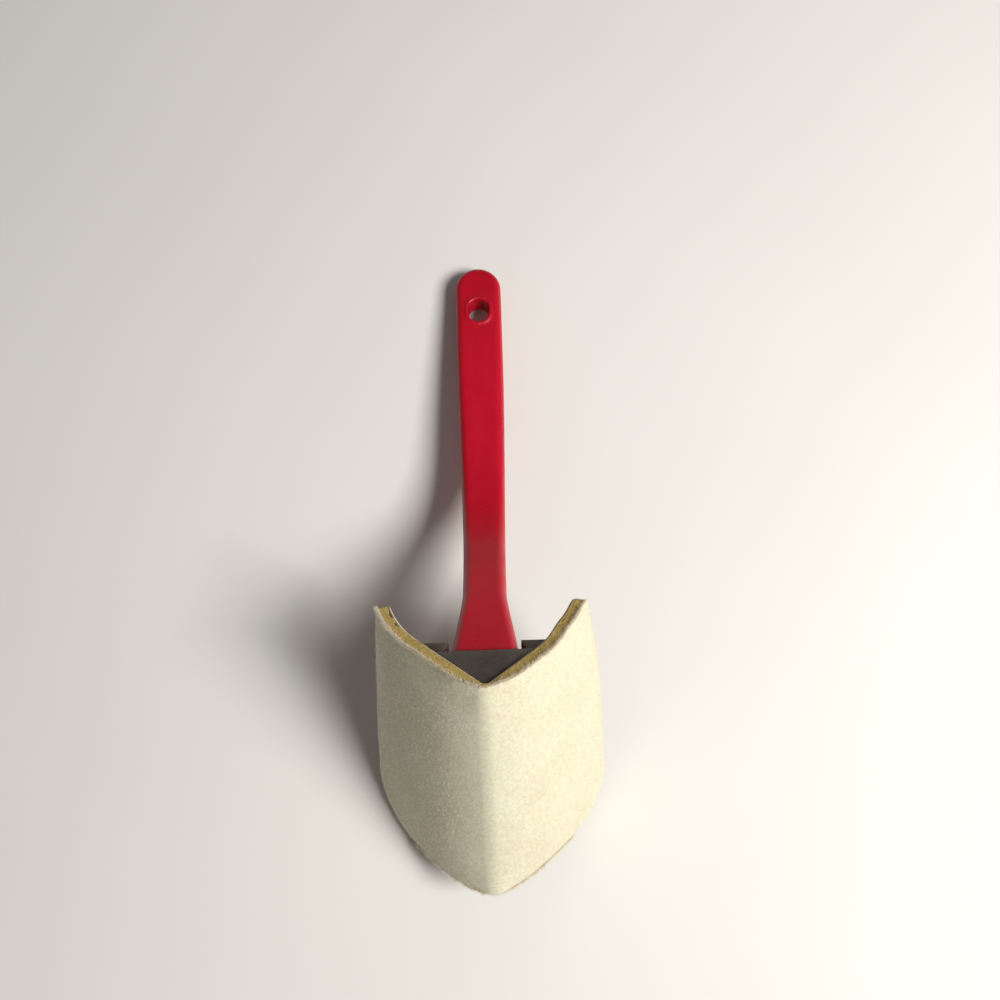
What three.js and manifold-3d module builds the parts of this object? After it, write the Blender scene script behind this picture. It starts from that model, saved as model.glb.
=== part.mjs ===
// Inside-corner paint pad: a folded foam-and-fabric pad glued to a plastic head, on a slide-in handle.
// Millimetres, +Z up. The tool lies on its back, on the handle's end and the pad's two lower corners.
//
// Everything is built in the tool's own frame, and the whole tool is then laid down by one rotation.
// In the tool's frame X runs across the pad, Y runs up its fold from the pad's top end at 0, and Z
// points outward from the fold, with the fabric's surface on the fold at 0.

import * as THREE from 'three';
import { mergeVertices } from 'three/addons/utils/BufferGeometryUtils.js';
import Module from 'manifold-3d';

const wasm = await Module();
wasm.setup();

const degrees = THREE.MathUtils.degToRad;

// Pad
const PAD_LENGTH = 77.5;
const HALF_FOLD = degrees(45);
const FOLD_RADIUS = 1;
const WING_REACH = 22.1;
const FLAP_REACH_TOP = 17;
const FLAP_REACH_BOTTOM = 20.8;
const FLAP_BOW = 1.4;
const LOWER_CORNER_RADIUS = 14;
const LOWER_EDGE_BOW = 1.2;
const FLAP_CURL_TOP = degrees(31);
const FLAP_CURL_BOTTOM = degrees(5);

// Layers, from the head outward
const LAYER_GAP = 0.2;
const ADHESIVE_THICKNESS = 0.2;
const BACKING_THICKNESS = 0.25;
const FOAM_THICKNESS = 2.25;
const FOAM_THICKNESS_ON_FOLD = 1.15;
const FABRIC_THICKNESS = 0.5;
const PINCH_REACH = 9;
const ADHESIVE_START = 2.5;
const ADHESIVE_MARGIN = 1.5;
const BACKING_MARGIN = 1;

// Head
const HEAD_RECESS = 0.8;
const END_PLATE_THICKNESS = 2;
const WALL = 1.8;
const RIB_THICKNESS = 1.6;
const CHANNEL_DEPTH = 3.6;
const CHANNEL_HALF_WIDTH = 10.4;
const DOVETAIL_NARROWING = 1.5;
const RAIL_SETBACK = 0.4;
const STOP_START = 46;
const STOP_THICKNESS = 2;

// Handle
const SLIDE_CLEARANCE = 0.3;
const TONGUE_TOP = 5;
const NECK_TOP = 1.2;
const NECK_HALF_THICKNESS = 4.2;
const NECK_REACH = 41.5;
const BEND_REACH = 20;
const GRIP_LENGTH = 81.7;
const GRIP_ANGLE = degrees(53.3);
const GRIP_HALF_THICKNESS = 3.6;
const FOOT_HALF_WIDTH = 8.5;
const NECK_HALF_WIDTH = 5.8;
const GRIP_HALF_WIDTH = 7.1;
const FLARE_LENGTH = 24;
const FLARE_EASE = 0.35;
const SWELL_START = 32;
const EDGE_RADIUS = 2.4;
const GUSSET_THICKNESS = 4;
const GUSSET_DROP = 22;
const GUSSET_REACH = 15;
const HOLE_FROM_END = 15.5;
const HOLE_RADIUS = 3.1;
const HOLE_STRETCH = 1.3;

// Resting pose
const FOLD_TILT = degrees(45);

// Mesh detail
const ACROSS_SEGMENTS = 32;
const FOLD_CROWDING = 1.6;
const DOWN_SEGMENTS = 12;
const SECTION_POINTS = 16;
const HOLE_SEGMENTS = 24;

const materials = {
  handle: new THREE.MeshStandardMaterial({ color: 0xb01a30, roughness: 0.35, metalness: 0 }),
  head: new THREE.MeshStandardMaterial({ color: 0x45403b, roughness: 0.45, metalness: 0 }),
  adhesive: new THREE.MeshStandardMaterial({ color: 0xd8d2c0, roughness: 0.5, metalness: 0 }),
  backing: new THREE.MeshStandardMaterial({ color: 0xe6e4de, roughness: 0.7, metalness: 0 }),
  foam: new THREE.MeshStandardMaterial({ color: 0xb39a4a, roughness: 0.95, metalness: 0 }),
  fabric: new THREE.MeshStandardMaterial({ color: 0xf3ead2, roughness: 1, metalness: 0 }),
};

// Solids and meshes

function toSolid(geometry) {
  const source = geometry.index ? geometry : mergeVertices(geometry);
  source.deleteAttribute('normal');
  source.deleteAttribute('uv');
  const merged = mergeVertices(source, 1e-4);
  return new wasm.Manifold(new wasm.Mesh({
    numProp: 3,
    vertProperties: new Float32Array(merged.attributes.position.array),
    triVerts: new Uint32Array(merged.index.array),
  }));
}

function toGeometry(solid) {
  const mesh = solid.getMesh();
  const geometry = new THREE.BufferGeometry();
  geometry.setAttribute('position', new THREE.BufferAttribute(mesh.vertProperties, 3));
  geometry.setIndex(new THREE.BufferAttribute(mesh.triVerts, 1));
  geometry.computeVertexNormals();
  return geometry;
}

function namedMesh(name, geometry, material) {
  const mesh = new THREE.Mesh(geometry, material);
  mesh.name = name;
  return mesh;
}

// Extrudes an outline drawn across the fold (x across, y outward) from one distance below the
// pad's top end to another.
function prismDown(shape, from, to) {
  const geometry = new THREE.ExtrudeGeometry(shape, {
    depth: to - from,
    bevelEnabled: false,
    curveSegments: 8,
  });
  geometry.rotateX(Math.PI / 2);
  geometry.translate(0, -from, 0);
  return toSolid(geometry);
}

function outline(points) {
  return new THREE.Shape(points.map(([x, y]) => new THREE.Vector2(x, y)));
}

// The folded surface that the pad's layers follow

const layerStack = LAYER_GAP * 4 + ADHESIVE_THICKNESS + BACKING_THICKNESS;
const stackOnFold = layerStack + FOAM_THICKNESS_ON_FOLD + FABRIC_THICKNESS;
const noseCentreDepth = stackOnFold + FOLD_RADIUS;
const noseArc = FOLD_RADIUS * HALF_FOLD;

// The point at a distance across from the fold and down from the top end, raised off the head's
// outer surface by an offset. The flaps past the head's wings curl back, most at the top.
function pointOnFold(across, down, offset) {
  const side = Math.sign(across);
  const reach = Math.abs(across);
  const lean = Math.min(reach / FOLD_RADIUS, HALF_FOLD);
  let x = FOLD_RADIUS * Math.sin(lean);
  let z = FOLD_RADIUS * Math.cos(lean) - noseCentreDepth;
  let angle = lean;
  const wing = THREE.MathUtils.clamp(reach - noseArc, 0, WING_REACH - noseArc);
  x += wing * Math.cos(HALF_FOLD);
  z -= wing * Math.sin(HALF_FOLD);
  if (reach > WING_REACH) {
    const t = down / PAD_LENGTH;
    const curl = THREE.MathUtils.lerp(FLAP_CURL_TOP, FLAP_CURL_BOTTOM, t);
    const radius = flapReach(down) / curl;
    angle = HALF_FOLD + (reach - WING_REACH) / radius;
    x += radius * (Math.sin(angle) - Math.sin(HALF_FOLD));
    z += radius * (Math.cos(angle) - Math.cos(HALF_FOLD));
  }
  x += offset * Math.sin(angle);
  z += offset * Math.cos(angle);
  return new THREE.Vector3(side * x, -down, z);
}

// The flaps widen towards the bottom, and their free edges bow out a little.
function flapReach(down) {
  const t = down / PAD_LENGTH;
  return THREE.MathUtils.lerp(FLAP_REACH_TOP, FLAP_REACH_BOTTOM, t) + FLAP_BOW * 4 * t * (1 - t);
}

// How much the rounding of a lower corner takes off the reach.
function cornerCut(down) {
  const intoCorner = Math.max(0, down - (PAD_LENGTH - LOWER_CORNER_RADIUS));
  return LOWER_CORNER_RADIUS - Math.sqrt(LOWER_CORNER_RADIUS ** 2 - intoCorner ** 2);
}

function foamThickness(across) {
  const spread = THREE.MathUtils.smoothstep(Math.abs(across), 0, PINCH_REACH);
  return THREE.MathUtils.lerp(FOAM_THICKNESS_ON_FOLD, FOAM_THICKNESS, spread);
}

// A folded layer that stops short of the pad's edges by a margin. inner and outer give its two
// offsets at a distance across from the fold. Its rows crowd towards the rounded lower corners, and
// its lower edge bows down in the middle of each flap.
function padLayer(inner, outer, margin) {
  const sheet = new THREE.BoxGeometry(2, 1, 1, ACROSS_SEGMENTS, DOWN_SEGMENTS, 1);
  const position = sheet.attributes.position;
  for (let i = 0; i < position.count; i += 1) {
    const row = Math.sin((0.5 - position.getY(i)) * Math.PI / 2);
    const down = margin + row * (PAD_LENGTH - 2 * margin);
    const edge = position.getX(i);
    const reach = WING_REACH + flapReach(down) - cornerCut(down) - margin;
    const across = Math.sign(edge) * Math.abs(edge) ** FOLD_CROWDING * reach;
    const offset = position.getZ(i) > 0 ? outer(across) : inner(across);
    const bow = LOWER_EDGE_BOW * row * Math.sin(Math.PI * Math.abs(edge));
    position.setXYZ(i, ...pointOnFold(across, down + bow, offset).toArray());
  }
  return toGeometry(toSolid(sheet));
}

function adhesiveStrip(side) {
  const from = ADHESIVE_START;
  const to = WING_REACH - ADHESIVE_MARGIN;
  const strip = new THREE.BoxGeometry(1, 1, 1);
  const position = strip.attributes.position;
  for (let i = 0; i < position.count; i += 1) {
    const across = side * THREE.MathUtils.lerp(from, to, side * position.getX(i) + 0.5);
    const down = THREE.MathUtils.lerp(
      HEAD_RECESS + ADHESIVE_MARGIN,
      PAD_LENGTH - HEAD_RECESS - ADHESIVE_MARGIN,
      0.5 - position.getY(i),
    );
    const offset = LAYER_GAP + (position.getZ(i) + 0.5) * ADHESIVE_THICKNESS;
    position.setXYZ(i, ...pointOnFold(across, down, offset).toArray());
  }
  return toGeometry(toSolid(strip));
}

const backingInner = LAYER_GAP * 2 + ADHESIVE_THICKNESS;
const backingOuter = backingInner + BACKING_THICKNESS;
const foamInner = backingOuter + LAYER_GAP;
const foamOuter = (across) => foamInner + foamThickness(across);
const fabricInner = (across) => foamOuter(across) + LAYER_GAP;
const fabricOuter = (across) => fabricInner(across) + FABRIC_THICKNESS;

const backing = padLayer(() => backingInner, () => backingOuter, BACKING_MARGIN);
const foam = padLayer(() => foamInner, foamOuter, 0);
const fabric = padLayer(fabricInner, fabricOuter, 0);

// Head: a solid-backed vee with a dovetail channel behind, cored out from its lower end

const wingTip = pointOnFold(WING_REACH, 0, 0);
const wingTipDepth = -wingTip.z;
const channelFloorDepth = wingTipDepth - CHANNEL_DEPTH;
const headTop = HEAD_RECESS;
const headBottom = PAD_LENGTH - HEAD_RECESS;

function veeOutline() {
  const shape = new THREE.Shape();
  shape.moveTo(-wingTip.x, wingTip.z);
  shape.lineTo(wingTip.x, wingTip.z);
  shape.absarc(0, -noseCentreDepth, FOLD_RADIUS, Math.PI / 2 - HALF_FOLD, Math.PI / 2 + HALF_FOLD);
  shape.closePath();
  return shape;
}

// A dovetail section, wide at the channel's floor. clearance shrinks it all round.
function dovetailOutline(clearance, overrun) {
  const slope = DOVETAIL_NARROWING / CHANNEL_DEPTH;
  const floor = channelFloorDepth + clearance;
  const mouth = wingTipDepth + overrun;
  const wide = CHANNEL_HALF_WIDTH - clearance * 1.1;
  const narrow = wide - (mouth - floor) * slope;
  return outline([[-wide, -floor], [-narrow, -mouth], [narrow, -mouth], [wide, -floor]]);
}

function coreOutline(side) {
  const apexDepth = noseCentreDepth - FOLD_RADIUS * Math.SQRT2;
  const innerApexDepth = apexDepth + WALL * Math.SQRT2;
  const near = RIB_THICKNESS / 2;
  const floor = channelFloorDepth - WALL;
  const far = floor - innerApexDepth;
  return outline([
    [side * near, -(innerApexDepth + near)],
    [side * near, -floor],
    [side * far, -floor],
  ]);
}

function headSolid() {
  const overrun = 1;
  const behindPlate = outline([
    [-wingTip.x - overrun, -channelFloorDepth],
    [wingTip.x + overrun, -channelFloorDepth],
    [wingTip.x + overrun, wingTip.z - overrun],
    [-wingTip.x - overrun, wingTip.z - overrun],
  ]);
  const cuts = [
    prismDown(dovetailOutline(0, overrun), headTop - overrun, STOP_START),
    prismDown(dovetailOutline(0, overrun), STOP_START + STOP_THICKNESS, headBottom + overrun),
    prismDown(behindPlate, headTop - overrun, headTop + RAIL_SETBACK),
    prismDown(coreOutline(1), headTop + END_PLATE_THICKNESS, headBottom + overrun),
    prismDown(coreOutline(-1), headTop + END_PLATE_THICKNESS, headBottom + overrun),
  ];
  return prismDown(veeOutline(), headTop, headBottom).subtract(wasm.Manifold.union(cuts));
}

// Handle: a dovetail tongue, a neck leaving it square to the fold, and a grip that ends in a hang hole

const neckStart = new THREE.Vector3(
  0,
  -NECK_TOP - NECK_HALF_THICKNESS,
  -channelFloorDepth - SLIDE_CLEARANCE,
);
const neckEnd = neckStart.clone().add(new THREE.Vector3(0, 0, -NECK_REACH));
const bendCorner = neckEnd.clone().add(new THREE.Vector3(0, 0, -BEND_REACH));
const gripDirection = new THREE.Vector3(0, Math.cos(GRIP_ANGLE), -Math.sin(GRIP_ANGLE));
const gripStart = bendCorner.clone().addScaledVector(gripDirection, BEND_REACH);
const gripEnd = bendCorner.clone().addScaledVector(gripDirection, GRIP_LENGTH);

const handleLine = new THREE.CurvePath();
handleLine.add(new THREE.LineCurve3(neckStart, neckEnd));
handleLine.add(new THREE.QuadraticBezierCurve3(neckEnd, bendCorner, gripStart));
handleLine.add(new THREE.LineCurve3(gripStart, gripEnd));
const handleLength = handleLine.getLength();

function ringDistances() {
  const flare = [0, 0.15, 0.3, 0.45, 0.6, 0.8, 1].map((t) => t * FLARE_LENGTH);
  const roundStart = handleLength - GRIP_HALF_WIDTH;
  const middle = [];
  const steps = 24;
  for (let i = 1; i < steps; i += 1) {
    middle.push(THREE.MathUtils.lerp(FLARE_LENGTH, roundStart, i / steps));
  }
  const round = [0, 15, 30, 45, 60, 72, 80].map(
    (angle) => roundStart + GRIP_HALF_WIDTH * Math.sin(degrees(angle)),
  );
  return [...flare, ...middle, ...round];
}

function handleHalfWidth(distance) {
  const straight = THREE.MathUtils.clamp(distance / FLARE_LENGTH, 0, 1);
  const eased = THREE.MathUtils.smoothstep(distance, 0, FLARE_LENGTH);
  const flare = THREE.MathUtils.lerp(straight, eased, FLARE_EASE);
  const swell = THREE.MathUtils.smoothstep(distance, SWELL_START, handleLength * 0.8);
  const body = THREE.MathUtils.lerp(FOOT_HALF_WIDTH, NECK_HALF_WIDTH, flare)
    + (GRIP_HALF_WIDTH - NECK_HALF_WIDTH) * swell;
  const pastCentre = Math.max(0, distance - (handleLength - GRIP_HALF_WIDTH));
  return Math.min(body, Math.sqrt(Math.max(0, GRIP_HALF_WIDTH ** 2 - pastCentre ** 2)));
}

function handleHalfThickness(distance) {
  const thinning = THREE.MathUtils.smoothstep(distance, NECK_REACH / 2, NECK_REACH + BEND_REACH);
  return THREE.MathUtils.lerp(NECK_HALF_THICKNESS, GRIP_HALF_THICKNESS, thinning);
}

// The neck and grip: a straight cylinder whose rings are set along the handle's line, each turned
// square to it and shaped into a rounded rectangle.
function barSolid() {
  const distances = ringDistances();
  const last = distances.length - 1;
  const halfStep = Math.PI / SECTION_POINTS;
  const bar = new THREE.CylinderGeometry(1, 1, 1, SECTION_POINTS, last, false, halfStep);
  const position = bar.attributes.position;
  const across = new THREE.Vector3(1, 0, 0);
  for (let i = 0; i < position.count; i += 1) {
    const distance = distances[Math.round((0.5 - position.getY(i)) * last)];
    const centre = handleLine.getPoint(distance / handleLength);
    const tangent = handleLine.getTangent(distance / handleLength);
    const under = new THREE.Vector3().crossVectors(tangent, across).normalize();
    const x = position.getX(i);
    const z = position.getZ(i);
    if (Math.hypot(x, z) > 0.5) {
      const halfWidth = handleHalfWidth(distance);
      const halfThickness = handleHalfThickness(distance);
      const radius = Math.min(EDGE_RADIUS, halfWidth);
      centre.x += Math.sign(x) * (halfWidth - radius) + radius * x;
      centre.addScaledVector(under, Math.sign(z) * (halfThickness - radius) + radius * z);
    }
    position.setXYZ(i, ...centre.toArray());
  }
  return toSolid(bar);
}

function gussetSolid() {
  const under = -NECK_TOP - NECK_HALF_THICKNESS;
  const back = -wingTipDepth + CHANNEL_DEPTH / 2;
  const shape = outline([
    [under, back],
    [under - GUSSET_DROP, back],
    [under, back - CHANNEL_DEPTH / 2 - GUSSET_REACH],
  ]);
  const geometry = new THREE.ExtrudeGeometry(shape, {
    depth: GUSSET_THICKNESS,
    bevelEnabled: false,
  });
  geometry.translate(0, 0, -GUSSET_THICKNESS / 2);
  geometry.applyMatrix4(new THREE.Matrix4().makeBasis(
    new THREE.Vector3(0, 1, 0),
    new THREE.Vector3(0, 0, 1),
    new THREE.Vector3(1, 0, 0),
  ));
  return toSolid(geometry);
}

// A peg's hole square through the grip, a little longer than it is wide.
function hangHoleSolid() {
  const depth = GRIP_HALF_THICKNESS * 4;
  const cutter = new THREE.CylinderGeometry(HOLE_RADIUS, HOLE_RADIUS, depth, HOLE_SEGMENTS);
  const position = cutter.attributes.position;
  for (let i = 0; i < position.count; i += 1) {
    const z = position.getZ(i);
    position.setZ(i, z + Math.sign(Math.round(z * 1e3)) * HOLE_STRETCH / 2);
  }
  cutter.rotateX(Math.PI / 2 - GRIP_ANGLE);
  const centre = gripEnd.clone().addScaledVector(gripDirection, -HOLE_FROM_END);
  cutter.translate(centre.x, centre.y, centre.z);
  return toSolid(cutter);
}

function handleSolid() {
  const tongue = prismDown(dovetailOutline(SLIDE_CLEARANCE, 0), TONGUE_TOP, STOP_START - SLIDE_CLEARANCE);
  return wasm.Manifold.union([tongue, barSolid(), gussetSolid()]).subtract(hangHoleSolid());
}

// The tool, laid on its back with its lowest points on the surface and its footprint centred

const tool = new THREE.Group();
tool.add(
  namedMesh('handle', toGeometry(handleSolid()), materials.handle),
  namedMesh('head_frame', toGeometry(headSolid()), materials.head),
  namedMesh('adhesive_strip_left', adhesiveStrip(-1), materials.adhesive),
  namedMesh('adhesive_strip_right', adhesiveStrip(1), materials.adhesive),
  namedMesh('backing_sheet', backing, materials.backing),
  namedMesh('foam_pad', foam, materials.foam),
  namedMesh('pile_fabric', fabric, materials.fabric),
);
tool.rotation.x = FOLD_TILT;

const group = new THREE.Group();
group.add(tool);
const footprint = new THREE.Box3().setFromObject(group, true);
const centre = footprint.getCenter(new THREE.Vector3());
tool.position.set(-centre.x, -centre.y, -footprint.min.z);

export default group;
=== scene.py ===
"""Looks for the inside-corner paint pad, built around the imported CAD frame. Metres throughout."""

import math

import bmesh
import bpy
import numpy as np
from mathutils import Euler, Matrix, Vector, noise


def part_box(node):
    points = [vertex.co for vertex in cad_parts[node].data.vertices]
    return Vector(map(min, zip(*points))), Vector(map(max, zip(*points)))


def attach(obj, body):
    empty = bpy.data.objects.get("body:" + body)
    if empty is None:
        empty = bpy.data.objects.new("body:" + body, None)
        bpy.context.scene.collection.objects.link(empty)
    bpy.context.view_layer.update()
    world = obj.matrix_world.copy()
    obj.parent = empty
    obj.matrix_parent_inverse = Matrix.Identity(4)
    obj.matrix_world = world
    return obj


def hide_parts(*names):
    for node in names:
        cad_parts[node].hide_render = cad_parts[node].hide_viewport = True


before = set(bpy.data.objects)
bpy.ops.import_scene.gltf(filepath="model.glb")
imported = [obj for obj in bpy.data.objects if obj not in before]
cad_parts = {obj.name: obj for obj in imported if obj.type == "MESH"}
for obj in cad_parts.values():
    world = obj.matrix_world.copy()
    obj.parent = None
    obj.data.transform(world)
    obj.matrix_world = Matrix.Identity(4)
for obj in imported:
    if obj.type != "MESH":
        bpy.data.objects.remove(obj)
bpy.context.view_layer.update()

RANDOM = np.random.default_rng(7)
MM = 0.001
X_AXIS = np.array([1.0, 0, 0])
FLOOR_HEIGHT = -0.2 * MM

# The head's outer surface, which the pad wraps. A pair is a value at the top end, then at the lower.
TILT = math.radians(45)
PAD_LENGTH = 77.5 * MM
HEAD_RECESS = 0.8 * MM
FOLD_RADIUS = 1 * MM
HALF_FOLD = math.radians(45)
WING_REACH = 22.1 * MM
FOLD_DEPTH = 2.9 * MM
FLAP_REACH = (17 * MM, 20.8 * MM)
FLAP_BOW = 1.4 * MM
FLAP_CURL = (math.radians(31), math.radians(5))
HEAD_EDGE_RADIUS = 0.3 * MM

# The pad's layers, as offsets from that surface
BACKING_OFFSETS = (0.45 * MM, 0.75 * MM)
FOAM_INNER = 0.8 * MM
FOAM_THICKNESS = 2.75 * MM
FOAM_THICKNESS_ON_FOLD = 1.3 * MM
CLOTH_THICKNESS = 0.5 * MM
SWELL_LIMIT = 0.5 * MM

# The pad's outline. The left flap is side -1 and the right flap is side 1.
CORNER_ROUNDING = {-1: 18 * MM, 1: 17 * MM}
TOP_CORNER_ROUNDING = 1.6 * MM
LOWER_EDGE_BOW = {-1: 1.3 * MM, 1: 0.3 * MM}
LOWER_BOW_REACH = 37 * MM
LOWER_BOW_LEAN = 0.7

# Where the foam is pinched, full or bent. A pair is the start and the end of a fade, except the
# pinch's reach across the fold, which is first the notch's and then the rest of the pad's.
PINCH_REACH = (8 * MM, 15 * MM)
PINCH_WIDENING = 12 * MM
NOTCH_PINCH = 0.6 * MM
NOTCH_PINCH_REACH = 6 * MM
SHOULDER_BULGE = 1.2 * MM
SHOULDER_REACH = 30 * MM
SHOULDER_LEAN = 0.7
BULGE_RISE = (2 * MM, 13 * MM)
BULGE_FADE_START = 64 * MM
BULGE_LOSS = 0.6
LEFT_PUFF = 0.3 * MM
PUFF_REACH = WING_REACH + FLAP_REACH[1]
PUFF_LEAN = 0.8
PUFF_RISE = 24 * MM
RIGHT_DENT = 2.0 * MM
DENT_NEAR_SIDE = (18 * MM, 29 * MM)
DENT_FAR_SIDE = (35 * MM, 45 * MM)
DENT_LENGTH = 34 * MM

# The handle's line and its section
NECK_TOP = 1.2 * MM
NECK_REACH = 41.5 * MM
BEND_REACH = 20 * MM
GRIP_LENGTH = 81.7 * MM
GRIP_ANGLE = math.radians(53.3)
LINE_STEPS = 400
TANGENT_REACH = 0.1 * MM
NECK_HALF_THICKNESS = 4.2 * MM
GRIP_HALF_THICKNESS = 3.6 * MM
FOOT_HALF_WIDTH = 8.5 * MM
NECK_HALF_WIDTH = 5.8 * MM
GRIP_HALF_WIDTH = 7.1 * MM
FLARE_LENGTH = 24 * MM
FLARE_EASE = 0.35
SWELL_START = 32 * MM
SWELL_END_SHARE = 0.8
EDGE_RADIUS = 2.2 * MM
SECTION_SQUARENESS = 0.6
CROWN = 0.45 * MM
MOULD_VOXEL = 0.32 * MM

# The hang hole and its collar
HOLE_FROM_END = 15.5 * MM
HOLE_RADIUS = 3.1 * MM
HOLE_STRETCH = 1.3 * MM
COLLAR_RADIUS = 0.6 * MM
COLLAR_SUNK = 0.3 * MM

# The handle's tongue in the head's channel, and the gusset under the neck
CHANNEL_FLOOR = 14.66 * MM
WING_DEPTH = 18.26 * MM
SLIDE_CLEARANCE = 0.3 * MM
TONGUE_TOP = 5 * MM
STOP_START = 46 * MM
CHANNEL_HALF_WIDTH = 10.4 * MM
DOVETAIL_NARROWING = 1.5 * MM
GUSSET_THICKNESS = 4 * MM
GUSSET_DROP = 22 * MM
GUSSET_REACH = 15 * MM

# The tool's own frame: x across the pad, y up its fold from the top end, z outward from the fold.
frame_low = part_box("head_frame")[0]
fabric_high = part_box("pile_fabric")[1]
NOSE_RUN = PAD_LENGTH - HEAD_RECESS - FOLD_DEPTH
FOLD_TOP = Vector((0, frame_low.y + NOSE_RUN * math.cos(TILT), fabric_high.z))
TOOL = Matrix.Translation(FOLD_TOP) @ Matrix.Rotation(TILT, 4, "X")


# Meshes


def to_row_frame(points):
    """Points of the tool's frame, an (n, 3) array, in the row frame."""
    turn = np.array(TOOL.to_3x3())
    return np.asarray(points) @ turn.T + np.array(TOOL.translation)


def add_mesh(name, points, faces):
    """A mesh object from an array of points and a list of faces."""
    mesh = bpy.data.meshes.new(name)
    mesh.from_pydata(points.tolist(), [], faces)
    piece = bpy.data.objects.new(name, mesh)
    bpy.context.scene.collection.objects.link(piece)
    return piece


def add_pad_piece(name, points, faces, material, smooth=True):
    """A piece of the pad from points in the tool's frame, riding on the head."""
    piece = add_mesh(name, to_row_frame(points), faces.tolist())
    piece.data.validate()
    piece.data.polygons.foreach_set("use_smooth", [smooth] * len(piece.data.polygons))
    piece.data.materials.append(material)
    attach(piece, "head")
    return piece


def slab(across_steps, down_steps, through_steps):
    """A closed box grid: (u, v, w) of each corner, u from -1 to 1 and v, w from 0 to 1, and its quads."""
    shape = (across_steps + 1, down_steps + 1, through_steps + 1)
    skin = np.zeros(shape, bool)
    skin[[0, -1]] = True
    skin[:, [0, -1]] = True
    skin[:, :, [0, -1]] = True
    index = np.full(shape, -1)
    index[skin] = np.arange(skin.sum())
    quads = []
    for axis in range(3):
        for side, flip in ((0, axis == 1), (-1, axis != 1)):
            corner = np.take(index, side, axis)
            ring = [corner[:-1, :-1], corner[1:, :-1], corner[1:, 1:], corner[:-1, 1:]]
            faces = np.stack(ring, -1).reshape(-1, 4)
            quads.append(faces[:, ::-1] if flip else faces)
    steps = np.stack(np.nonzero(skin), -1) / np.array([across_steps, down_steps, through_steps])
    u, v, w = steps.T
    return 2 * u - 1, v, w, np.concatenate(quads)


def smoothstep(x, low, high):
    """An eased step from 0 at low to 1 at high."""
    t = np.clip((x - low) / (high - low), 0, 1)
    return t * t * (3 - 2 * t)


def hump(x, end, lean):
    """A round hump from 0 through 1 to 0 at the end. A lean below 1 draws its peak to the start."""
    return np.sin(math.pi * np.clip(x / end, 0, 1) ** lean)


def lerp(a, b, t):
    return a + (b - a) * t


def crowded(u, power):
    """Steps from -1 to 1 drawn to the middle by a power above 1, and to the ends by one below."""
    return np.sign(u) * np.abs(u) ** power


def noise_at(points, size, seed=0.0):
    """Smooth noise from about -1 to 1, with features of the given size."""
    shift = Vector((seed * 13.1, seed * 7.7, seed * 3.3))
    return np.array([noise.noise(Vector(p) / size + shift) for p in points])


# The pad


def flap_reach(down):
    """How far a flap reaches past the wing's edge, measured round its curl."""
    t = down / PAD_LENGTH
    return lerp(*FLAP_REACH, t) + FLAP_BOW * 4 * t * (1 - t)


def on_fold(across, down, offset):
    """Points of the tool's frame, by their distance across from the fold, their distance down from
    the top end and their offset from the head's outer surface."""
    side = np.where(across < 0, -1.0, 1.0)
    reach = np.abs(across)
    lean = np.minimum(reach / FOLD_RADIUS, HALF_FOLD)
    x = FOLD_RADIUS * np.sin(lean)
    z = FOLD_RADIUS * (np.cos(lean) - 1) - FOLD_DEPTH
    wing = np.clip(reach - FOLD_RADIUS * HALF_FOLD, 0, WING_REACH - FOLD_RADIUS * HALF_FOLD)
    x = x + wing * math.cos(HALF_FOLD)
    z = z - wing * math.sin(HALF_FOLD)
    radius = flap_reach(down) / lerp(*FLAP_CURL, down / PAD_LENGTH)
    curl = np.maximum(reach - WING_REACH, 0) / radius
    x = x + radius * (np.sin(HALF_FOLD + curl) - math.sin(HALF_FOLD))
    z = z + radius * (np.cos(HALF_FOLD + curl) - math.cos(HALF_FOLD))
    x = x + offset * np.sin(lean + curl)
    z = z + offset * np.cos(lean + curl)
    return np.stack([side * x, -down, z], -1)


def pad_reach(side, down):
    """The distance from the fold to a flap's edge, with its corners rounded."""
    reach = WING_REACH + flap_reach(down)
    for distance, radius in (
        (PAD_LENGTH - down, np.where(side < 0, CORNER_ROUNDING[-1], CORNER_ROUNDING[1])),
        (down, TOP_CORNER_ROUNDING),
    ):
        into = np.clip(1 - distance / radius, 0, 1)
        reach = reach - radius * (1 - np.sqrt(1 - into * into))
    return reach


def lower_edge(across, down):
    """The distance down with the pad's lower edge bowed in the middle of each flap."""
    bow = np.where(across < 0, LOWER_EDGE_BOW[-1], LOWER_EDGE_BOW[1])
    return down + bow * down / PAD_LENGTH * hump(np.abs(across), LOWER_BOW_REACH, LOWER_BOW_LEAN)


def dent(across, down):
    """How far the top end of the right flap is bent in towards the handle."""
    bend = smoothstep(across, *DENT_NEAR_SIDE) * (1 - smoothstep(across, *DENT_FAR_SIDE))
    return RIGHT_DENT * bend * (1 - smoothstep(down, 0, DENT_LENGTH))


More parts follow.
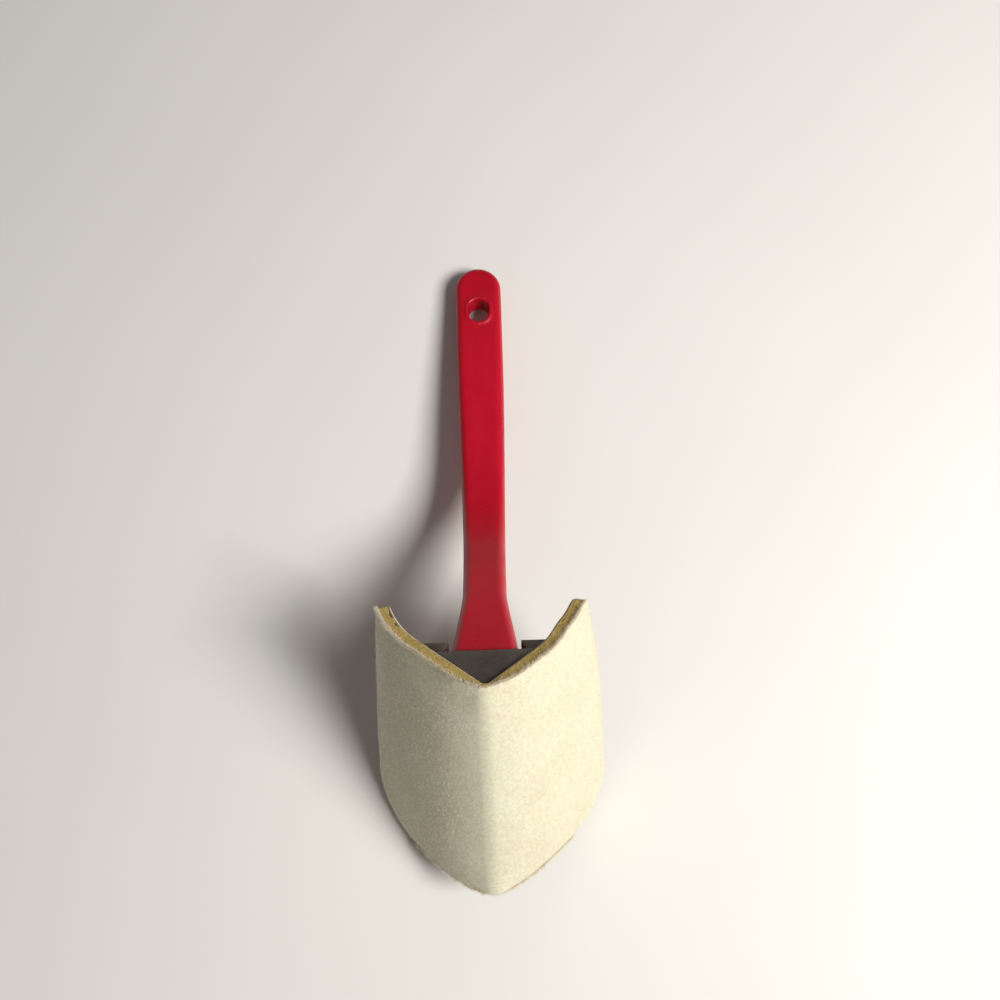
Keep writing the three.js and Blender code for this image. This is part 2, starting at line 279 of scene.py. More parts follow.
def foam_outer(across, down):
    """The foam's outer face, as an offset from the head: thin on the fold and thinner still at the
    notch, full in the shoulder on each side of the fold, and a little puffed on the left."""
    reach = np.abs(across)
    pinch_reach = lerp(*PINCH_REACH, smoothstep(down, 0, PINCH_WIDENING))
    spread = np.sin(math.pi / 2 * np.clip(reach / pinch_reach, 0, 1))
    thickness = lerp(FOAM_THICKNESS_ON_FOLD, FOAM_THICKNESS, spread)
    pinch = NOTCH_PINCH * (1 - spread) * (1 - smoothstep(down, 0, NOTCH_PINCH_REACH))
    puff = LEFT_PUFF * (across < 0) * hump(reach, PUFF_REACH, PUFF_LEAN)
    puff = puff * smoothstep(down, 0, PUFF_RISE)
    fading = BULGE_LOSS * smoothstep(down, BULGE_FADE_START, PAD_LENGTH)
    along = smoothstep(down, *BULGE_RISE) * (1 - fading)
    bulge = SHOULDER_BULGE * hump(reach, SHOULDER_REACH, SHOULDER_LEAN) * along
    return FOAM_INNER + thickness - pinch + puff + bulge - dent(across, down)


def simulate_swell():
    """How far the pad's face swells, as a grid over u and v, from a cloth simulation of its skin.

    The closed skin is scaled up to a cushion's size, glued down over its inner face, and swollen by
    pressure. The swell is then smoothed and scaled down to what glued foam keeps."""
    steps = (56, 48, 2)
    scale = 8
    settling_frames = 20
    smoothing_passes = 4
    u, v, w, quads = slab(*steps)
    down = v * PAD_LENGTH
    across = u * pad_reach(u, down)
    offset = lerp(FOAM_INNER, foam_outer(across, down) + CLOTH_THICKNESS, w)
    start = on_fold(across, down, offset)
    skin = add_mesh("pad_skin", start * scale, quads.tolist())
    glued = skin.vertex_groups.new(name="glued")
    glued.add(np.nonzero(w == 0)[0].tolist(), 1.0, "REPLACE")
    cloth = skin.modifiers.new("Cloth", "CLOTH")
    cloth.settings.quality = 6
    cloth.settings.mass = 0.3
    cloth.settings.tension_stiffness = 12
    cloth.settings.compression_stiffness = 12
    cloth.settings.shear_stiffness = 6
    cloth.settings.bending_stiffness = 0.5
    cloth.settings.use_pressure = True
    cloth.settings.uniform_pressure_force = 4
    cloth.settings.vertex_group_mass = "glued"
    cloth.settings.effector_weights.gravity = 0
    cloth.collision_settings.use_collision = False
    for step in range(settling_frames):
        bpy.context.scene.frame_set(step + 1)
    settled = skin.evaluated_get(bpy.context.evaluated_depsgraph_get()).data
    end = np.empty(len(settled.vertices) * 3)
    settled.vertices.foreach_get("co", end)
    bpy.context.scene.frame_set(1)
    bpy.data.objects.remove(skin)
    outward = on_fold(across, down, offset + MM) - start
    outward /= np.linalg.norm(outward, axis=1)[:, None]
    rise = ((end.reshape(-1, 3) / scale - start) * outward).sum(1)
    rise = rise[w == 1].reshape(steps[0] + 1, steps[1] + 1)
    for _ in range(smoothing_passes):
        rise[1:-1] = (rise[:-2] + 2 * rise[1:-1] + rise[2:]) / 4
        rise[:, 1:-1] = (rise[:, :-2] + 2 * rise[:, 1:-1] + rise[:, 2:]) / 4
    return rise * SWELL_LIMIT / np.abs(rise).max()


def swell_at(swell, u, v):
    """The swell grid read at any (u, v), between its points."""
    rows, columns = swell.shape
    below_last = 1.001
    i = np.clip((u + 1) / 2 * (rows - 1), 0, rows - below_last)
    j = np.clip(v * (columns - 1), 0, columns - below_last)
    i0, j0 = i.astype(int), j.astype(int)
    a, b = i - i0, j - j0
    near = lerp(swell[i0, j0], swell[i0, j0 + 1], b)
    far = lerp(swell[i0 + 1, j0], swell[i0 + 1, j0 + 1], b)
    return lerp(near, far, a)


def make_foam(swell, material):
    """The foam, rough along its cut ends and torn on its inner face at the top of the left flap."""
    cut_fade = 1.2 * MM
    cut_roughness = 0.12 * MM
    tear_depth = 1.5 * MM
    tear_fade = 2.5 * MM
    tear_side = (20 * MM, 34 * MM)
    u, v, w, quads = slab(150, 70, 8)
    u = crowded(u, 1.15)
    v = 0.5 + 0.5 * crowded(2 * v - 1, 0.75)
    down = v * PAD_LENGTH
    across = u * pad_reach(u, down)
    flat = np.stack([across, down, w * FOAM_THICKNESS], -1)
    cut = np.exp(-np.minimum(down, PAD_LENGTH - down) / cut_fade)
    rough = noise_at(flat, 0.9 * MM, seed=1) + 0.6 * noise_at(flat, 0.4 * MM, seed=2)
    down = down + rough * cut * cut_roughness * np.sign(v - 0.5)
    torn = np.exp(-down / tear_fade) * smoothstep(-across, *tear_side)
    inner = FOAM_INNER + np.maximum(noise_at(flat, 2.2 * MM, seed=3) + 0.35, 0) * torn * tear_depth
    inner = inner - dent(across, down)
    outer = foam_outer(across, down) + swell_at(swell, u, v)
    points = on_fold(across, lower_edge(across, down), lerp(inner, outer, w))
    return add_pad_piece("foam_body", points, quads, material)


def make_cloth(swell, material):
    """The pile cloth: tufted, slightly wavy, frayed along its top end and pressed thin at its edges."""
    fray_fade = 2 * MM
    edge_thinning = (-0.4 * MM, 1.2 * MM)
    edge_share = 0.35
    u, v, w, quads = slab(210, 180, 2)
    down = v * PAD_LENGTH
    across = u * pad_reach(u, down)
    flat = np.stack([across, down, np.zeros_like(down)], -1)
    along_edge = flat * np.array([1, 0, 0])
    fray = noise_at(along_edge, 1.1 * MM, seed=4) * 0.25 * MM
    fray += noise_at(along_edge, 6 * MM, seed=5) * 0.3 * MM
    down = down + fray * np.exp(-down / fray_fade)
    inner = foam_outer(across, down) + swell_at(swell, u, v)
    tufts = 0.10 * MM * noise_at(flat, 0.8 * MM, seed=6)
    tufts += 0.07 * MM * noise_at(flat, 0.45 * MM, seed=7)
    waves = 0.22 * MM * noise_at(flat, 13 * MM, seed=8)
    to_end = np.minimum(down, PAD_LENGTH - down)
    to_edge = np.minimum(to_end, (1 - np.abs(u)) * WING_REACH * 2)
    thickness = CLOTH_THICKNESS * lerp(edge_share, 1, smoothstep(to_edge, *edge_thinning))
    points = on_fold(across, lower_edge(across, down), inner + waves + w * (thickness + tufts))
    return add_pad_piece("pile_cloth", points, quads, material)


def strand_mesh(roots, tips, width):
    """Thin three-sided spikes from roots to tips."""
    count = len(roots)
    line = tips - roots
    line /= np.linalg.norm(line, axis=1)[:, None]
    side = np.cross(line, RANDOM.normal(size=(count, 3)))
    side /= np.linalg.norm(side, axis=1)[:, None]
    other = np.cross(line, side)
    base = []
    for angle in (0, 2 * math.pi / 3, 4 * math.pi / 3):
        base.append(roots + (side * math.cos(angle) + other * math.sin(angle)) * width[:, None])
    points = np.stack([*base, tips], 1).reshape(-1, 3)
    first = np.arange(count)[:, None] * 4
    corners = ((0, 2, 1), (0, 1, 3), (1, 2, 3), (2, 0, 3))
    return points, np.concatenate([first + np.array(face) for face in corners])


def make_fibres(swell, material):
    """The pile's nap over the whole face, and the longer loose fibres along the cut ends."""
    nap, loose = 26000, 4500
    nap_length, loose_length = (0.5, 1.1), (0.6, 1.8)
    top_share = 0.7
    top_v, low_v = 0.002, 0.998
    upright = 0.55
    spread = 0.75
    combed = np.array([0, -0.5, 0])
    u = np.concatenate([RANDOM.uniform(-1, 1, nap), RANDOM.uniform(-1, 1, loose)])
    edge_v = np.where(RANDOM.uniform(size=loose) < top_share, top_v, low_v)
    v = np.concatenate([RANDOM.uniform(0, 1, nap), edge_v])
    length = np.concatenate([RANDOM.uniform(*nap_length, nap), RANDOM.uniform(*loose_length, loose)]) * MM
    down = v * PAD_LENGTH
    across = u * pad_reach(u, down)
    height = foam_outer(across, down) + swell_at(swell, u, v) + CLOTH_THICKNESS * 0.75
    root = on_fold(across, lower_edge(across, down), height)
    outward = (on_fold(across, lower_edge(across, down), height + MM) - root) / MM
    lean = RANDOM.normal(0, spread, (len(u), 3)) + combed
    lean[nap:, 1] += np.where(edge_v == top_v, 1.8, -1.3)
    direction = outward * upright + lean
    direction /= np.linalg.norm(direction, axis=1)[:, None]
    width = RANDOM.uniform(0.035, 0.06, len(u)) * MM
    width[nap:] *= 1.5
    points, faces = strand_mesh(root, root + direction * length[:, None], width)
    return add_pad_piece("pile_fibres", points, faces, material, smooth=False)


def make_backing(material):
    """The backing film behind the foam, rippled where the flaps are free of the head."""
    margin = 0.4 * MM
    free_start = 6 * MM
    ripple_height = 0.15 * MM
    u, v, w, quads = slab(90, 40, 1)
    u = crowded(u, 1.3)
    down = margin + v * (PAD_LENGTH - 2 * margin)
    across = u * (pad_reach(u, down) - margin)
    flat = np.stack([across, down, np.zeros_like(down)], -1)
    free = smoothstep(np.abs(across), WING_REACH, WING_REACH + free_start)
    ripple = noise_at(flat, 9 * MM, seed=9) * ripple_height * free - dent(across, down)
    points = on_fold(across, lower_edge(across, down), lerp(*BACKING_OFFSETS, w) + ripple)
    return add_pad_piece("backing_film", points, quads, material)


# The mouldings


def apply_modifiers(piece):
    """Bakes a piece's modifiers into a mesh of its own."""
    done = piece.evaluated_get(bpy.context.evaluated_depsgraph_get())
    mesh = bpy.data.meshes.new_from_object(done)
    piece.modifiers.clear()
    piece.data = mesh


def make_head(material):
    """The head: the CAD solid with its flat faces made whole and its edges rounded."""
    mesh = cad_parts["head_frame"].data.copy()
    mesh.name = "head_moulding"
    mesh.materials.clear()
    shape = bmesh.new()
    shape.from_mesh(mesh)
    bmesh.ops.remove_doubles(shape, verts=shape.verts, dist=0.01 * MM)
    bmesh.ops.dissolve_limit(shape, angle_limit=math.radians(1), verts=shape.verts, edges=shape.edges)
    shape.to_mesh(mesh)
    shape.free()
    head = bpy.data.objects.new("head_moulding", mesh)
    bpy.context.scene.collection.objects.link(head)
    mesh.materials.append(material)
    bevel = head.modifiers.new("Bevel", "BEVEL")
    bevel.width = HEAD_EDGE_RADIUS
    bevel.segments = 3
    bevel.limit_method = "ANGLE"
    bevel.angle_limit = math.radians(25)
    bevel.harden_normals = True
    apply_modifiers(head)
    for polygon in head.data.polygons:
        polygon.use_smooth = True
    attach(head, "head")
    return head


def handle_line(samples):
    """The handle's centre line in the tool's frame: its points and unit tangents at the distances
    that samples picks from the line's length, then those distances and that length."""
    start = np.array([0, -NECK_TOP - NECK_HALF_THICKNESS, -CHANNEL_FLOOR - SLIDE_CLEARANCE])
    neck_end = start + np.array([0, 0, -NECK_REACH])
    corner = neck_end + np.array([0, 0, -BEND_REACH])
    grip = np.array([0, math.cos(GRIP_ANGLE), -math.sin(GRIP_ANGLE)])
    grip_start = corner + grip * BEND_REACH
    grip_end = corner + grip * GRIP_LENGTH
    t = np.linspace(0, 1, LINE_STEPS)[:, None]
    bend = (1 - t) ** 2 * neck_end + 2 * t * (1 - t) * corner + t * t * grip_start
    rough = np.concatenate([lerp(start, neck_end, t), bend[1:], lerp(grip_start, grip_end, t)[1:]])
    along = np.concatenate([[0], np.cumsum(np.linalg.norm(np.diff(rough, axis=0), axis=1))])
    distance = samples(along[-1])

    def points_at(places):
        return np.stack([np.interp(places, along, rough[:, k]) for k in range(3)], -1)

    tangents = points_at(distance + TANGENT_REACH) - points_at(distance - TANGENT_REACH)
    tangents /= np.linalg.norm(tangents, axis=1)[:, None]
    return points_at(distance), tangents, distance, along[-1]


def bar_points(ring_size):
    """Rings of a rounded, slightly crowned rectangle along the handle's line. The last ones turn
    each half of it about the end's centre, for a round end."""
    body, end = 150, 30
    turn = np.radians(np.concatenate([np.zeros(body), np.linspace(3, 89, end)]))
    centre, tangent, distance, total = handle_line(
        lambda total: np.concatenate([np.linspace(0, total - GRIP_HALF_WIDTH, body), [total] * end])
    )
    distance = np.minimum(distance, total - GRIP_HALF_WIDTH)
    centre[body:] = centre[body - 1]
    straight = np.clip(distance / FLARE_LENGTH, 0, 1)
    flare = lerp(straight, smoothstep(distance, 0, FLARE_LENGTH), FLARE_EASE)
    swell = smoothstep(distance, SWELL_START, total * SWELL_END_SHARE)
    width = lerp(FOOT_HALF_WIDTH, NECK_HALF_WIDTH, flare)
    width = width + (GRIP_HALF_WIDTH - NECK_HALF_WIDTH) * swell
    thinning = smoothstep(distance, NECK_REACH / 2, NECK_REACH + BEND_REACH)
    thickness = lerp(NECK_HALF_THICKNESS, GRIP_HALF_THICKNESS, thinning)
    angle = (np.arange(ring_size) + 0.5) / ring_size * 2 * math.pi
    c, s = np.cos(angle), np.sin(angle)
    x = np.sign(c) * (width[:, None] - EDGE_RADIUS) + EDGE_RADIUS * c
    fill = np.abs(s) ** SECTION_SQUARENESS * np.sign(s)
    n = fill * (thickness[:, None] - CROWN * (x / GRIP_HALF_WIDTH) ** 2)
    up = np.cross(X_AXIS, tangent)
    side = (x * np.cos(turn)[:, None])[..., None] * X_AXIS
    onward = (np.abs(x) * np.sin(turn)[:, None])[..., None] * tangent[:, None]
    return centre[:, None] + side + onward + n[..., None] * up[:, None]


def loose_solid(name, points, faces):
    """A closed helper mesh from points in the tool's frame, with its faces turned outward."""
    solid = add_mesh(name, to_row_frame(points), faces)
    shape = bmesh.new()
    shape.from_mesh(solid.data)
    bmesh.ops.recalc_face_normals(shape, faces=shape.faces)
    shape.to_mesh(solid.data)
    shape.free()
    return solid


def extruded(name, outline, direction):
    """A closed prism: an outline of points in the tool's frame, swept along a direction."""
    count = len(outline)
    near = np.asarray(outline)
    points = np.concatenate([near, near + np.asarray(direction)])
    sides = [[i, (i + 1) % count, (i + 1) % count + count, i + count] for i in range(count)]
    faces = sides + [list(range(count))[::-1], list(range(count, 2 * count))]
    return loose_solid(name, points, faces)


def bar_solid():
    """The handle's bar, from its foot to its round end."""
    ring = 64
    rings = bar_points(ring)
    index = np.arange(len(rings) * ring).reshape(len(rings), ring)
    after = np.roll(index, -1, 1)
    quads = np.stack([index[:-1], after[:-1], after[1:], index[1:]], -1).reshape(-1, 4)
    faces = quads.tolist() + [index[0][::-1].tolist(), index[-1].tolist()]
    return loose_solid("bar", rings.reshape(-1, 3), faces)


def tongue_solid():
    """The dovetail tongue that fills the head's channel."""
    slope = DOVETAIL_NARROWING / (WING_DEPTH - CHANNEL_FLOOR)
    floor = CHANNEL_FLOOR + SLIDE_CLEARANCE
    wide = CHANNEL_HALF_WIDTH - SLIDE_CLEARANCE * 1.1
    narrow = wide - (WING_DEPTH - floor) * slope
    section = [(-wide, floor), (-narrow, WING_DEPTH), (narrow, WING_DEPTH), (wide, floor)]
    outline = [(x, -TONGUE_TOP, -depth) for x, depth in section]
    return extruded("tongue", outline, (0, TONGUE_TOP - STOP_START + SLIDE_CLEARANCE, 0))


def gusset_solid():
    """The three-cornered gusset under the neck."""
    under = -NECK_TOP - NECK_HALF_THICKNESS
    root = -(WING_DEPTH + CHANNEL_FLOOR) / 2
    half = GUSSET_THICKNESS / 2
    outline = [
        (-half, under, root),
        (-half, under - GUSSET_DROP, root),
        (-half, under, -WING_DEPTH - GUSSET_REACH),
    ]
    return extruded("gusset", outline, (GUSSET_THICKNESS, 0, 0))


def grip_frame():
    """The hang hole's centre, the grip's direction and its upward normal, in the tool's frame."""
    points, tangents, _, _ = handle_line(lambda total: np.array([total - HOLE_FROM_END]))
    return points[0], tangents[0], np.cross(X_AXIS, tangents[0])


def stretched_ring(radius, steps):
    """Points round the hang hole, a circle pulled a little longer along the grip: (x, along)."""
    angle = (np.arange(steps) + 0.5) / steps * 2 * math.pi
    return radius * np.cos(angle), radius * np.sin(angle) + np.sign(np.sin(angle)) * HOLE_STRETCH / 2


def hole_cutter():
    """The stretched cylinder that cuts the hang hole through the grip."""
    centre, along, up = grip_frame()
    x, y = stretched_ring(HOLE_RADIUS, 48)
    foot = centre - up * GRIP_HALF_THICKNESS * 2
    outline = foot + x[:, None] * X_AXIS + y[:, None] * along
    return extruded("hole_cutter", outline, up * GRIP_HALF_THICKNESS * 4)


def hole_collar():
    """The low round lip that stands up round the hole on the grip's upper face."""
    centre, along, up = grip_frame()
    ring, section = 64, 16
    rows = []
    for angle in np.arange(section) / section * 2 * math.pi:
        x, y = stretched_ring(HOLE_RADIUS + COLLAR_RADIUS * (1 + math.cos(angle)), ring)
        lift = GRIP_HALF_THICKNESS - COLLAR_SUNK + COLLAR_RADIUS * math.sin(angle)
        rows.append(centre + up * lift + x[:, None] * X_AXIS + y[:, None] * along)
    index = np.arange(section * ring).reshape(section, ring)
    right = np.roll(index, -1, 1)
    quads = np.stack([index, right, np.roll(right, -1, 0), np.roll(index, -1, 0)], -1)
    return loose_solid("collar", np.array(rows).reshape(-1, 3), quads.reshape(-1, 4).tolist())


def join_solids(target, others):
    """One mesh from several closed shells."""
    shape = bmesh.new()
    for solid in (target, *others):
        shape.from_mesh(solid.data)
    shape.to_mesh(target.data)
    shape.free()
    for solid in others:
        bpy.data.objects.remove(solid)


def cut_away(target, cutter):
    """Cuts one closed solid out of another."""
    boolean = target.modifiers.new("Cut", "BOOLEAN")
    boolean.operation = "DIFFERENCE"
    boolean.solver = "EXACT"
    boolean.object = cutter
    apply_modifiers(target)
    bpy.data.objects.remove(cutter)


def mark_parting(handle):
    """Stores each vertex's height above the handle's centre line, where the mould halves met."""
    line_points, batch = 300, 5000
    points, tangents, _, _ = handle_line(lambda total: np.linspace(0, total, line_points))
    ups = np.cross(X_AXIS, tangents)
    points = to_row_frame(points)
    ups = ups @ np.array(TOOL.to_3x3()).T
    vertices = np.empty(len(handle.data.vertices) * 3)
    handle.data.vertices.foreach_get("co", vertices)
    vertices = vertices.reshape(-1, 3)
    heights = np.empty(len(vertices))
    for start in range(0, len(vertices), batch):
        block = vertices[start : start + batch]
        gaps = block[:, None, 1:] - points[None, :, 1:]
        nearest = (gaps**2).sum(-1).argmin(1)
        heights[start : start + batch] = ((block - points[nearest]) * ups[nearest]).sum(1)
    layer = handle.data.attributes.new("parting_height", "FLOAT", "POINT")
    layer.data.foreach_set("value", heights)


def make_handle(material):
    """The handle as one moulding: its solids melted together on a fine voxel grid, which rounds
    every inner and outer corner a little, as in a mould."""
    handle = bar_solid()
    handle.name = "handle_moulding"
    handle.data.name = "handle_moulding"
    cut_away(handle, hole_cutter())
    join_solids(handle, [tongue_solid(), gusset_solid(), hole_collar()])
    remesh = handle.modifiers.new("Melt", "REMESH")
    remesh.mode = "VOXEL"
    remesh.voxel_size = MOULD_VOXEL
    soften = handle.modifiers.new("Soften", "SMOOTH")
    soften.factor = 0.5
    soften.iterations = 12
    apply_modifiers(handle)
    mark_parting(handle)
    for polygon in handle.data.polygons:
        polygon.use_smooth = True
    handle.data.materials.append(material)
    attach(handle, "handle")
    return handle


# Materials


def srgb(red, green, blue):
    """A colour picked by its screen values, 0 to 255, as the linear one that shaders take."""
    values = [c / 255 for c in (red, green, blue)]
    linear = [c / 12.92 if c <= 0.04045 else ((c + 0.055) / 1.055) ** 2.4 for c in values]
    return (*linear, 1.0)


def new_material(name, **constants):
    """A Principled material, with plain values set on the shader's own sockets."""
    material = bpy.data.materials.new(name)
    material.use_nodes = True
    shader = material.node_tree.nodes["Principled BSDF"]
    for socket, value in constants.items():
        shader.inputs[socket.replace("_", " ")].default_value = value
    return material


def noise_node(tree, size, detail=3, rough=0.5, stretch=(1, 1, 1)):
    """Noise in the row frame, with features of a size in metres."""
    place = tree.nodes.new("ShaderNodeTexCoord")
    mapping = tree.nodes.new("ShaderNodeMapping")
    mapping.inputs["Scale"].default_value = stretch
    texture = tree.nodes.new("ShaderNodeTexNoise")
    texture.inputs["Scale"].default_value = 1 / size
    texture.inputs["Detail"].default_value = detail
    texture.inputs["Roughness"].default_value = rough
    tree.links.new(place.outputs["Object"], mapping.inputs["Vector"])
    tree.links.new(mapping.outputs["Vector"], texture.inputs["Vector"])
    return texture.outputs["Fac"]


def cell_node(tree, size):
    """Distance to the nearest of random points, for foam cells and grain."""
    place = tree.nodes.new("ShaderNodeTexCoord")
    texture = tree.nodes.new("ShaderNodeTexVoronoi")
    texture.inputs["Scale"].default_value = 1 / size
    tree.links.new(place.outputs["Object"], texture.inputs["Vector"])
    return texture.outputs["Distance"]


def ramp_node(tree, source, stops):
    """A colour ramp with (position, colour) stops."""
    ramp = tree.nodes.new("ShaderNodeValToRGB")
    elements = ramp.color_ramp.elements
    while len(elements) < len(stops):
        elements.new(0.5)
    for element, (position, colour) in zip(elements, stops):
        element.position = position
        element.color = colour
    tree.links.new(source, ramp.inputs["Fac"])
    return ramp.outputs["Color"]


def range_node(tree, source, given, wanted):
    """A value read from one (low, high) range into another."""
    mapped = tree.nodes.new("ShaderNodeMapRange")
    mapped.inputs["From Min"].default_value = given[0]
    mapped.inputs["From Max"].default_value = given[1]
    mapped.inputs["To Min"].default_value = wanted[0]
    mapped.inputs["To Max"].default_value = wanted[1]
    tree.links.new(source, mapped.inputs["Value"])
    return mapped.outputs["Result"]


def multiply_node(tree, a, b):
    """One colour darkened by another."""
    mix = tree.nodes.new("ShaderNodeMix")
    mix.data_type = "RGBA"
    mix.blend_type = "MULTIPLY"
    mix.inputs["Factor"].default_value = 1.0
    tree.links.new(a, mix.inputs["A"])
    tree.links.new(b, mix.inputs["B"])
    return mix.outputs["Result"]


def add_bumps(tree, *bumps):
    """Stacked bumps of (height, depth in metres) on the material's shader."""
    shader = tree.nodes["Principled BSDF"]
    normal = None
    for height, depth in bumps:
        bump = tree.nodes.new("ShaderNodeBump")
        bump.inputs["Strength"].default_value = 1.0
        bump.inputs["Distance"].default_value = depth
        tree.links.new(height, bump.inputs["Height"])
        if normal:
            tree.links.new(normal, bump.inputs["Normal"])
        normal = bump.outputs["Normal"]
    tree.links.new(normal, shader.inputs["Normal"])


def grey(value):
    return (value, value, value, 1.0)


def colour_by(tree, socket):
    tree.links.new(socket, tree.nodes["Principled BSDF"].inputs["Base Color"])


def roughness_by(tree, socket):
    tree.links.new(socket, tree.nodes["Principled BSDF"].inputs["Roughness"])


def handle_material():
    """Satin red polypropylene: slight flow shading, sink waves, fine grain and a parting line."""
    material = new_material("handle_red", IOR=1.40, Subsurface_Weight=0.08, Subsurface_Scale=0.002)
    tree = material.node_tree
    flow = noise_node(tree, 22 * MM, detail=4, rough=0.55, stretch=(1.6, 0.5, 1))
    colour_by(tree, ramp_node(tree, flow, [(0.3, srgb(166, 4, 30)), (0.7, srgb(182, 9, 38))]))
    shine = noise_node(tree, 6 * MM, detail=5, rough=0.6)
    roughness_by(tree, range_node(tree, shine, (0.3, 0.7), (0.26, 0.42)))
    height = tree.nodes.new("ShaderNodeAttribute")
    height.attribute_name = "parting_height"
    near_line = range_node(tree, height.outputs["Fac"], (-0.35 * MM, 0.35 * MM), (0, 1))
    line = ramp_node(tree, near_line, [(0.3, grey(0)), (0.5, grey(1)), (0.7, grey(0))])
    waves = noise_node(tree, 14 * MM, detail=2, rough=0.4, stretch=(1.8, 0.6, 1))
    grain = noise_node(tree, 0.35 * MM, rough=0.6)
    add_bumps(tree, (waves, 0.35 * MM), (grain, 0.008 * MM), (line, 0.05 * MM))
    return material


def head_material():
    """Charcoal moulded plastic, satin, with flow marks and rubbed, greyer patches."""
    material = new_material("head_charcoal", IOR=1.5)
    tree = material.node_tree
    tone = noise_node(tree, 7 * MM, detail=6, rough=0.6)
    colour_by(tree, ramp_node(tree, tone, [(0.35, srgb(50, 43, 38)), (0.7, srgb(76, 67, 59))]))
    shine = noise_node(tree, 3 * MM, detail=4, rough=0.6)
    roughness_by(tree, range_node(tree, shine, (0.3, 0.7), (0.24, 0.45)))
    marks = noise_node(tree, 2.2 * MM, detail=4, rough=0.6, stretch=(1, 4, 4))
    grain = noise_node(tree, 0.3 * MM, rough=0.6)
    add_bumps(tree, (marks, 0.05 * MM), (grain, 0.012 * MM))
    return material


def foam_material():
    """Yellow polyurethane foam: open cells, with painted shade darkening the hollow of each cell."""
    material = new_material("foam_yellow", Roughness=0.95, Sheen_Weight=0.15, Sheen_Roughness=0.6)
    tree = material.node_tree
    patches = noise_node(tree, 5 * MM, detail=4, rough=0.6)
    tint = ramp_node(tree, patches, [(0.3, srgb(160, 134, 58)), (0.7, srgb(186, 162, 88))])
    cells = cell_node(tree, 0.55 * MM)
    # Painted shade: the colour darkens to 0.55 where the cell bumps sink, standing in for shade inside
    # the pores.
    painted_pore_shade = ramp_node(tree, cells, [(0.0, grey(0.55)), (0.45, grey(1.0))])
    colour_by(tree, multiply_node(tree, tint, painted_pore_shade))
    fine = cell_node(tree, 0.28 * MM)
    add_bumps(tree, (cells, 0.18 * MM), (fine, 0.08 * MM))
    return material


def pile_material(name, light, dark):
    """Cream polyester pile with a soft sheen, and painted shade in the dips between its tufts."""
    material = new_material(
        name,
        Roughness=1.0,
        Sheen_Weight=0.3,
        Sheen_Roughness=0.45,
        Subsurface_Weight=0.7,
        Subsurface_Radius=(1.0, 0.8, 0.55),
        Subsurface_Scale=0.005,
    )
    tree = material.node_tree
    tufts = noise_node(tree, 1.1 * MM, detail=5, rough=0.7)
    # Painted shade: the dark colour sits where the tuft bumps sink, the light one on the tuft tops.
    tint = ramp_node(tree, tufts, [(0.36, dark), (0.6, light)])
    broad = ramp_node(tree, noise_node(tree, 12 * MM), [(0.3, grey(0.93)), (0.7, grey(1.0))])
    colour_by(tree, multiply_node(tree, tint, broad))
    fine = noise_node(tree, 0.35 * MM, detail=4, rough=0.7)
    add_bumps(tree, (tufts, 0.14 * MM), (fine, 0.10 * MM))
    return material


def film_material(name, light, dark, rough):
    """Thin pale film or tape: faint creases and a dull shine."""
    material = new_material(name, Roughness=rough)
    tree = material.node_tree
    tone = noise_node(tree, 6 * MM, detail=4, rough=0.6)
    colour_by(tree, ramp_node(tree, tone, [(0.35, dark), (0.65, light)]))
    creases = noise_node(tree, 4 * MM, detail=5, rough=0.65, stretch=(1, 3, 3))
    add_bumps(tree, (creases, 0.08 * MM))
    return material


def floor_material():
    """Matt, nearly white card, with a faint change of tone."""
    material = new_material("pale_floor", Roughness=0.9)
    tree = material.node_tree
    tone = noise_node(tree, 90 * MM)
    colour_by(tree, ramp_node(tree, tone, [(0.3, grey(0.70)), (0.7, grey(0.72))]))
    return material


# The stage


def add_floor():
    """A wide sheet of card, a hair below the tool."""
    bpy.ops.mesh.primitive_plane_add(size=6)
    floor = bpy.context.object
    floor.name = "floor"
    floor.location.z = FLOOR_HEIGHT
    floor.data.materials.append(floor_material())


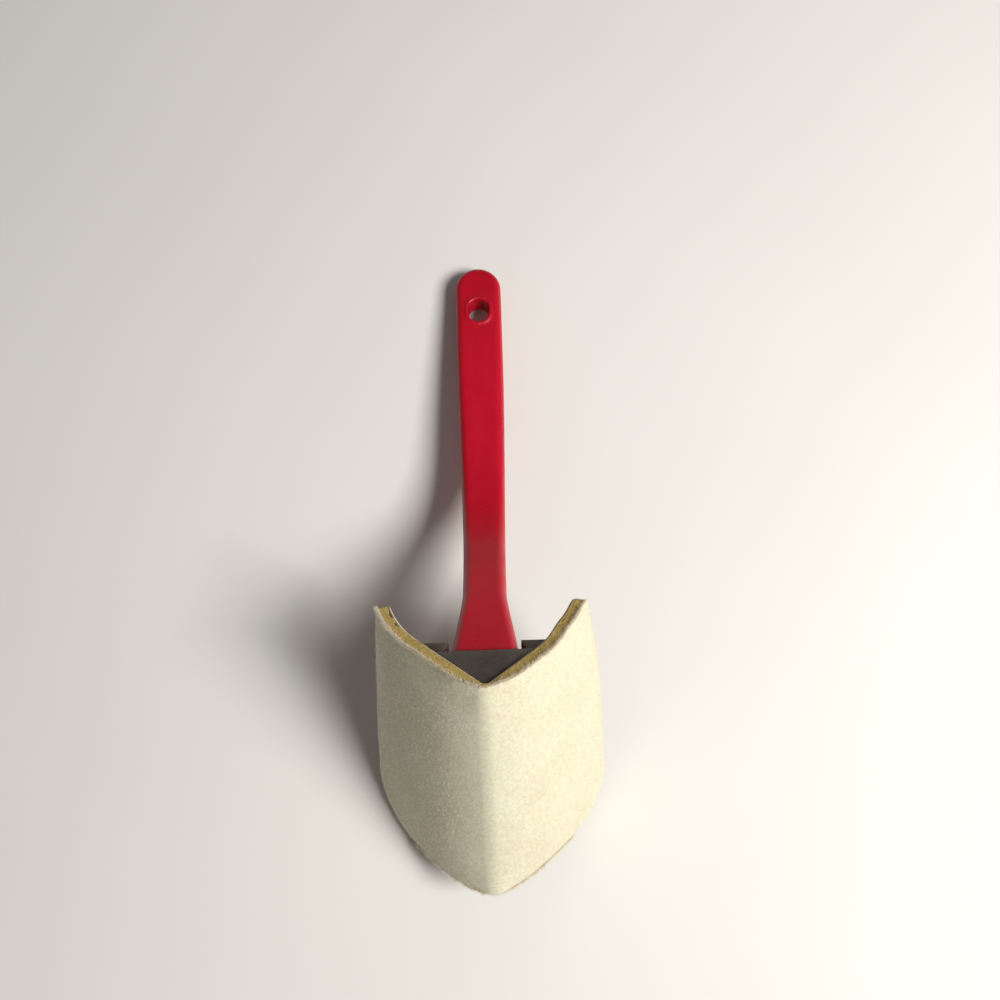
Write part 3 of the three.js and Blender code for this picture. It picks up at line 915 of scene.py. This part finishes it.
def add_light(name, position, size, power, colour):
    """A square soft light aimed at the middle of the tool."""
    lamp = bpy.data.lights.new(name, "AREA")
    lamp.size = size
    lamp.energy = power
    lamp.color = colour
    light = bpy.data.objects.new(name, lamp)
    bpy.context.scene.collection.objects.link(light)
    light.location = position
    aim = Vector((0, 0, 0.03)) - light.location
    light.rotation_euler = aim.to_track_quat("-Z", "Y").to_euler()


def add_lights():
    """A warm key light from the right, a weak cool fill from the left and a dim warm surround."""
    add_light("key", (0.46, -0.16, 0.64), size=0.30, power=8.3, colour=(1.0, 0.97, 0.90))
    add_light("fill", (-0.55, -0.25, 0.65), size=0.7, power=0.15, colour=(0.92, 0.95, 1.0))
    world = bpy.data.worlds.new("studio")
    world.use_nodes = True
    background = world.node_tree.nodes["Background"]
    background.inputs["Color"].default_value = (1.0, 0.91, 0.84, 1.0)
    background.inputs["Strength"].default_value = 0.155
    bpy.context.scene.world = world


def add_camera():
    """Nearly overhead, looking down on the tool as it lies."""
    camera = bpy.data.objects.new("camera", bpy.data.cameras.new("camera"))
    camera.data.sensor_width = 36
    camera.data.lens = 39.6
    camera.data.clip_start = 0.01
    camera.location = (0.0055, -0.0414, 0.3324)
    camera.rotation_euler = Euler([math.radians(angle) for angle in (10.43, 0.47, -1.85)])
    bpy.context.scene.collection.objects.link(camera)
    bpy.context.scene.camera = camera


add_floor()
add_lights()
add_camera()
bpy.context.scene.view_settings.view_transform = "Standard"

# The second colour of each pile is painted shade for the dips between its tufts.
cloth_material = pile_material("pile_cream", srgb(255, 238, 198), srgb(240, 218, 172))
fibre_material = pile_material("fibre_cream", srgb(254, 242, 212), srgb(232, 218, 186))
film = film_material("backing_white", srgb(236, 234, 228), srgb(216, 213, 205), 0.45)
tape = film_material("tape_cream", srgb(222, 212, 184), srgb(206, 194, 164), 0.35)

swell = simulate_swell()

handle = make_handle(handle_material())
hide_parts("handle")

head = make_head(head_material())
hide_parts("head_frame")

foam = make_foam(swell, foam_material())
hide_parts("foam_pad")

cloth = make_cloth(swell, cloth_material)
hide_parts("pile_fabric")

fibres = make_fibres(swell, fibre_material)

backing = make_backing(film)
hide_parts("backing_sheet")

for node in ("adhesive_strip_left", "adhesive_strip_right"):
    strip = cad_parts[node].data
    strip.materials.clear()
    strip.materials.append(tape)

bpy.context.view_layer.update()
